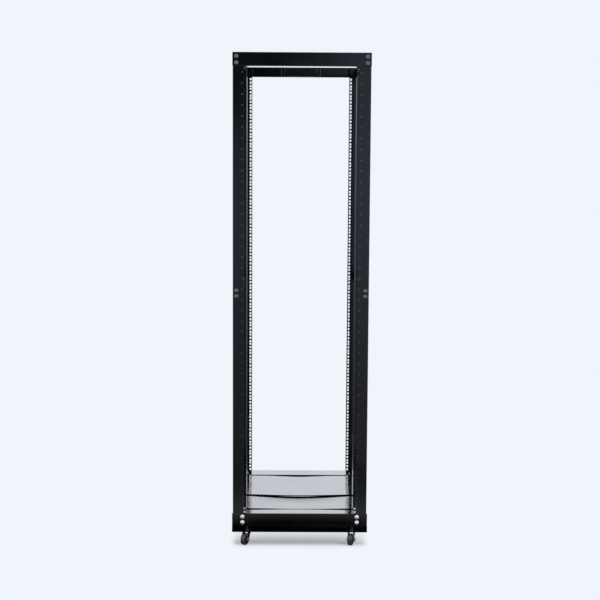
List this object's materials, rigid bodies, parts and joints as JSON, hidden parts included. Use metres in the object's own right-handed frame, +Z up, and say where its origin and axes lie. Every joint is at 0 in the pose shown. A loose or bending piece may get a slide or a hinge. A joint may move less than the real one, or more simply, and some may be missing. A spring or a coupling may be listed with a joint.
{
  "type": "equipment rack",
  "caption": "Tall open-frame equipment rack with square-hole posts, bolted top bars and base, depth-adjustable side rails, floor panels and swivel casters.",
  "frame": {"origin": "on the floor, under the middle of the rack", "axes": "+X to the rack's right as seen from the front, +Y to the rear, +Z up"},
  "size_m": [0.572, 0.7858, 2.0635],
  "materials": {
    "powder_coat": "satin black powder coat with a soft gloss",
    "black_screw": "glossy black, smooth",
    "zinc": "bright zinc plate",
    "wheel_core": "moulded black plastic",
    "tyre": "matt, dark olive grey"
  },
  "bodies": {
    "frame": {"top_bar_front": "powder_coat", "top_bar_rear": "powder_coat", "top_bar_stiffener": "powder_coat", "post_front_left": "powder_coat", "post_front_right": "powder_coat", "post_rear_left": "powder_coat", "post_rear_right": "powder_coat", "bottom_rail_front_left": "powder_coat", "bottom_rail_front_right": "powder_coat", "bottom_rail_rear_left": "powder_coat", "bottom_rail_rear_right": "powder_coat", "middle_rail_front_left": "powder_coat", "middle_rail_front_right": "powder_coat", "middle_rail_rear_left": "powder_coat", "middle_rail_rear_right": "powder_coat", "top_rail_front_left": "powder_coat", "top_rail_front_right": "powder_coat", "top_rail_rear_left": "powder_coat", "top_rail_rear_right": "powder_coat", "base_beam_front": "powder_coat", "base_beam_rear": "powder_coat", "base_channel_front": "powder_coat", "base_channel_rear": "powder_coat", "floor_panel_front": "powder_coat", "floor_panel_rear": "powder_coat", "bottom_screws": "zinc", "middle_screws": "black_screw", "top_screws": "black_screw", "frame_nuts": "zinc", "tie_screws": "zinc", "tie_nuts": "zinc", "slide_screws": "black_screw", "slide_nuts": "zinc", "stem_washers": "zinc", "stem_nuts": "zinc", "caster_stem_front_left": "zinc", "caster_stem_front_right": "zinc", "caster_stem_rear_left": "zinc", "caster_stem_rear_right": "zinc"},
    "caster_front_left": {"caster_fork_front_left": "zinc", "caster_axle_front_left": "zinc"},
    "wheel_front_left": {"caster_hub_front_left": "wheel_core", "caster_tyre_front_left": "tyre"},
    "caster_front_right": {"caster_fork_front_right": "zinc", "caster_axle_front_right": "zinc"},
    "wheel_front_right": {"caster_hub_front_right": "wheel_core", "caster_tyre_front_right": "tyre"},
    "caster_rear_left": {"caster_fork_rear_left": "zinc", "caster_axle_rear_left": "zinc"},
    "wheel_rear_left": {"caster_hub_rear_left": "wheel_core", "caster_tyre_rear_left": "tyre"},
    "caster_rear_right": {"caster_fork_rear_right": "zinc", "caster_axle_rear_right": "zinc"},
    "wheel_rear_right": {"caster_hub_rear_right": "wheel_core", "caster_tyre_rear_right": "tyre"}
  },
  "joints": [
    {"name": "swivel_front_left", "type": "hinge", "parent": "frame", "child": "caster_front_left", "pos_m": [-0.223, -0.348, 0.0565], "axis": [0, 0, 1], "continuous": true},
    {"name": "spin_front_left", "type": "hinge", "parent": "caster_front_left", "child": "wheel_front_left", "pos_m": [-0.23177, -0.36598, 0.025], "axis": [0.8988, -0.4384, 0], "continuous": true},
    {"name": "swivel_front_right", "type": "hinge", "parent": "frame", "child": "caster_front_right", "pos_m": [0.223, -0.348, 0.0565], "axis": [0, 0, 1], "continuous": true},
    {"name": "spin_front_right", "type": "hinge", "parent": "caster_front_right", "child": "wheel_front_right", "pos_m": [0.21749, -0.36723, 0.025], "axis": [0.9613, -0.2756, 0], "continuous": true},
    {"name": "swivel_rear_left", "type": "hinge", "parent": "frame", "child": "caster_rear_left", "pos_m": [-0.223, 0.348, 0.0565], "axis": [0, 0, 1], "continuous": true},
    {"name": "spin_rear_left", "type": "hinge", "parent": "caster_rear_left", "child": "wheel_rear_left", "pos_m": [-0.21749, 0.36723, 0.025], "axis": [-0.9613, 0.2756, 0], "continuous": true},
    {"name": "swivel_rear_right", "type": "hinge", "parent": "frame", "child": "caster_rear_right", "pos_m": [0.223, 0.348, 0.0565], "axis": [0, 0, 1], "continuous": true},
    {"name": "spin_rear_right", "type": "hinge", "parent": "caster_rear_right", "child": "wheel_rear_right", "pos_m": [0.23177, 0.36598, 0.025], "axis": [-0.8988, 0.4384, 0], "continuous": true}
  ]
}
